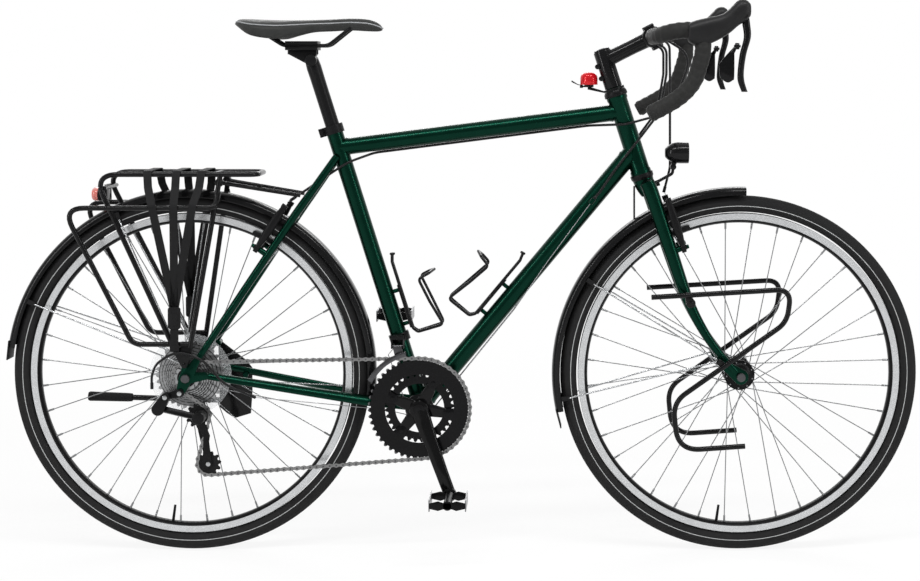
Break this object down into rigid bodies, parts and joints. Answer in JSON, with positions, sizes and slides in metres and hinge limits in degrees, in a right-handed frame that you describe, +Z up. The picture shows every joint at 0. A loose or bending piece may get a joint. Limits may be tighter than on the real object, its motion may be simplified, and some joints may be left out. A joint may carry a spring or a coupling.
{
  "type": "touring bicycle",
  "caption": "Steel touring bicycle with drop handlebar, chain drive with derailleurs, rim brakes, mudguards, rear rack with straps, low front racks, lamps, bell and kickstand.",
  "frame": {"origin": "ground under the middle of the bounding box", "axes": "+X forward, +Y to the rider's left, +Z up; the chain side faces -Y"},
  "size_m": [1.7572, 0.4624, 1.0583],
  "materials": {
    "frame_paint": "gloss dark green",
    "black_aluminium": "anodised black, satin",
    "saddle_leather": "matte black",
    "black_paint": "satin black",
    "bar_tape": "matte black",
    "hood_rubber": "matte black",
    "lever_black": "gloss black",
    "bell_red": "gloss red",
    "black_plastic": "satin black",
    "spoke_steel": "polished",
    "rim_black": "black with machined brake tracks",
    "tyre_rubber": "matte with a thin reflective line",
    "axle_steel": "satin",
    "sprocket_steel": "bright plated",
    "ring_aluminium": "satin",
    "pedal_aluminium": "satin",
    "chain_steel": "oiled",
    "guard_plastic": "gloss black",
    "lamp_lens": "pale red, clear",
    "strap_rubber": "matte black",
    "cable_housing": "satin black"
  },
  "bodies": {
    "frame": {"frame": "frame_paint", "bottom_bracket": "black_aluminium", "seat_collar": "black_aluminium", "rear_mudguard": "guard_plastic", "rear_rack": "black_paint", "rack_straps": "strap_rubber", "rear_light": "lamp_lens", "kickstand_bracket": "black_paint", "bottle_cage_seat_tube": "black_paint", "bottle_cage_down_tube": "black_paint", "front_derailleur_body": "lever_black", "rear_derailleur_body": "lever_black", "rear_axle": "axle_steel", "chain": "chain_steel", "rear_brake_cable": "cable_housing", "shift_cables": "cable_housing"},
    "seat": {"seatpost": "black_aluminium", "saddle": "saddle_leather"},
    "steering": {"fork": "frame_paint", "stem": "black_paint", "handlebar": "black_aluminium", "bar_tape_right": "bar_tape", "bar_tape_left": "bar_tape", "hood_right": "hood_rubber", "hood_left": "hood_rubber", "front_mudguard": "guard_plastic", "lowrider_right": "black_paint", "lowrider_left": "black_paint", "front_axle": "axle_steel", "front_brake_cable": "cable_housing", "bell": "bell_red", "headlight": "black_plastic"},
    "front_wheel": {"front_hub": "spoke_steel", "front_rim": "rim_black", "front_tyre": "tyre_rubber"},
    "rear_wheel": {"rear_hub": "spoke_steel", "rear_rim": "rim_black", "rear_tyre": "tyre_rubber"},
    "cassette": {"cassette": "sprocket_steel"},
    "crankset": {"crank_right": "black_aluminium", "chainrings": "ring_aluminium", "crank_left": "black_aluminium"},
    "pedal_right": {"pedal_right": "pedal_aluminium"},
    "pedal_left": {"pedal_left": "pedal_aluminium"},
    "derailleur_link": {"rear_derailleur_link": "ring_aluminium"},
    "derailleur_knuckle": {"rear_derailleur_knuckle": "lever_black"},
    "derailleur_cage": {"rear_derailleur_cage": "lever_black"},
    "upper_pulley": {"upper_pulley": "black_plastic"},
    "lower_pulley": {"lower_pulley": "black_plastic"},
    "front_derailleur_cage": {"front_derailleur_cage": "axle_steel"},
    "rear_brake_arm_right": {"rear_brake_arm_right": "lever_black"},
    "rear_brake_arm_left": {"rear_brake_arm_left": "lever_black"},
    "front_brake_arm_right": {"front_brake_arm_right": "lever_black"},
    "front_brake_arm_left": {"front_brake_arm_left": "lever_black"},
    "brake_lever_right": {"brake_lever_right": "lever_black"},
    "brake_lever_left": {"brake_lever_left": "lever_black"},
    "shift_paddle_right": {"shift_paddle_right": "lever_black"},
    "shift_paddle_left": {"shift_paddle_left": "lever_black"},
    "bell_hammer": {"bell_hammer": "black_plastic"},
    "kickstand": {"kickstand": "black_paint"}
  },
  "joints": [
    {"name": "seatpost_slide", "type": "slide", "parent": "frame", "child": "seat", "axis": [-0.2974, 0, 0.9548], "range_m": [-0.025, 0.06]},
    {"name": "steering", "type": "hinge", "parent": "frame", "child": "steering", "pos_m": [0.32408, 0, 0.80214], "axis": [-0.3074, 0, 0.9516], "range_deg": [-60, 60], "deforming": ["rear_brake_cable", "shift_cables"]},
    {"name": "front_wheel_spin", "type": "hinge", "parent": "steering", "child": "front_wheel", "pos_m": [0.53552, 0, 0.345], "axis": [0, 1, 0], "continuous": true},
    {"name": "rear_wheel_spin", "type": "hinge", "parent": "frame", "child": "rear_wheel", "pos_m": [-0.52285, 0, 0.345], "axis": [0, 1, 0], "continuous": true},
    {"name": "crank_spin", "type": "hinge", "parent": "frame", "child": "crankset", "pos_m": [-0.07987, 0, 0.283], "axis": [0, 1, 0], "continuous": true, "deforming": ["chain"]},
    {"name": "cassette_spin", "type": "hinge", "parent": "frame", "child": "cassette", "pos_m": [-0.52285, 0, 0.345], "axis": [0, 1, 0], "continuous": true},
    {"name": "pedal_right_spin", "type": "hinge", "parent": "crankset", "child": "pedal_right", "pos_m": [-0.02033, -0.123, 0.12377], "axis": [0, 1, 0], "continuous": true},
    {"name": "pedal_left_spin", "type": "hinge", "parent": "crankset", "child": "pedal_left", "pos_m": [-0.1394, 0.123, 0.44223], "axis": [0, 1, 0], "continuous": true},
    {"name": "derailleur_shift", "type": "hinge", "parent": "frame", "child": "derailleur_link", "pos_m": [-0.56685, -0.0831, 0.289], "axis": [0.2044, 0.5, 0.8416], "range_deg": [-6, 22], "deforming": ["chain", "shift_cables"]},
    {"name": "derailleur_level", "type": "hinge", "parent": "derailleur_link", "child": "derailleur_knuckle", "pos_m": [-0.49685, -0.0831, 0.272], "axis": [0.2044, 0.5, 0.8416], "range_deg": [-22, 6]},
    {"name": "derailleur_cage_swing", "type": "hinge", "parent": "derailleur_knuckle", "child": "derailleur_cage", "pos_m": [-0.49685, -0.06, 0.272], "axis": [0, 1, 0], "range_deg": [-18, 25], "stiffness_Nm_per_rad": 1.2, "deforming": ["chain"]},
    {"name": "upper_pulley_spin", "type": "hinge", "parent": "derailleur_cage", "child": "upper_pulley", "pos_m": [-0.50335, -0.05215, 0.27], "axis": [0, 1, 0], "continuous": true},
    {"name": "lower_pulley_spin", "type": "hinge", "parent": "derailleur_cage", "child": "lower_pulley", "pos_m": [-0.48385, -0.05215, 0.178], "axis": [0, 1, 0], "continuous": true},
    {"name": "front_shift", "type": "hinge", "parent": "frame", "child": "front_derailleur_cage", "pos_m": [-0.12251, -0.0365, 0.401], "axis": [1, 0, 0], "range_deg": [0, 8], "deforming": ["chain", "shift_cables"]},
    {"name": "brake_lever_right_pull", "type": "hinge", "parent": "steering", "child": "brake_lever_right", "pos_m": [0.52221, -0.205, 1.02983], "axis": [0, 1, 0], "range_deg": [0, 14], "stiffness_Nm_per_rad": 3, "springref_deg": -2.86, "deforming": ["rear_brake_cable"]},
    {"name": "shift_paddle_right_push", "type": "hinge", "parent": "brake_lever_right", "child": "shift_paddle_right", "pos_m": [0.50771, -0.205, 0.97463], "axis": [1, 0, 0], "range_deg": [0, 10], "stiffness_Nm_per_rad": 0.4, "springref_deg": -2.86},
    {"name": "brake_lever_left_pull", "type": "hinge", "parent": "steering", "child": "brake_lever_left", "pos_m": [0.52221, 0.205, 1.02983], "axis": [0, 1, 0], "range_deg": [0, 14], "stiffness_Nm_per_rad": 3, "springref_deg": -2.86, "deforming": ["front_brake_cable"]},
    {"name": "shift_paddle_left_push", "type": "hinge", "parent": "brake_lever_left", "child": "shift_paddle_left", "pos_m": [0.50771, 0.205, 0.97463], "axis": [-1, 0, 0], "range_deg": [0, 10], "stiffness_Nm_per_rad": 0.4, "springref_deg": -2.86},
    {"name": "rear_brake_arm_right_swing", "type": "hinge", "parent": "frame", "child": "rear_brake_arm_right", "pos_m": [-0.36895, -0.04188, 0.57772], "axis": [-0.8306, 0, 0.5569], "range_deg": [0, 2.3], "deforming": ["rear_brake_cable"]},
    {"name": "rear_brake_arm_left_swing", "type": "hinge", "parent": "frame", "child": "rear_brake_arm_left", "pos_m": [-0.36895, 0.04188, 0.57772], "axis": [0.8306, 0, -0.5569], "range_deg": [0, 2.3], "deforming": ["rear_brake_cable"]},
    {"name": "front_brake_arm_right_swing", "type": "hinge", "parent": "steering", "child": "front_brake_arm_right", "pos_m": [0.40183, -0.042, 0.58417], "axis": [-0.9516, 0, -0.3074], "range_deg": [0, 2.3], "deforming": ["front_brake_cable"]},
    {"name": "front_brake_arm_left_swing", "type": "hinge", "parent": "steering", "child": "front_brake_arm_left", "pos_m": [0.40183, 0.042, 0.58417], "axis": [0.9516, 0, 0.3074], "range_deg": [0, 2.3], "deforming": ["front_brake_cable"]},
    {"name": "bell_hammer_swing", "type": "hinge", "parent": "steering", "child": "bell_hammer", "pos_m": [0.23261, 0, 0.89992], "axis": [1, 0, 0], "range_deg": [-20, 20], "stiffness_Nm_per_rad": 0.05},
    {"name": "kickstand_swing", "type": "hinge", "parent": "frame", "child": "kickstand", "pos_m": [-0.46285, 0.0778, 0.269], "axis": [0, -0.9272, -0.3746], "range_deg": [0, 100]}
  ],
  "couplings": [
    {"joint": "cassette_spin", "follows": "crank_spin", "ratio": 3.4286},
    {"joint": "upper_pulley_spin", "follows": "crank_spin", "ratio": -4.3636},
    {"joint": "lower_pulley_spin", "follows": "crank_spin", "ratio": 4.3636},
    {"joint": "derailleur_level", "follows": "derailleur_shift", "ratio": -1},
    {"joint": "rear_brake_arm_right_swing", "follows": "brake_lever_right_pull", "ratio": 0.1643},
    {"joint": "rear_brake_arm_left_swing", "follows": "brake_lever_right_pull", "ratio": 0.1643},
    {"joint": "front_brake_arm_right_swing", "follows": "brake_lever_left_pull", "ratio": 0.1643},
    {"joint": "front_brake_arm_left_swing", "follows": "brake_lever_left_pull", "ratio": 0.1643}
  ]
}
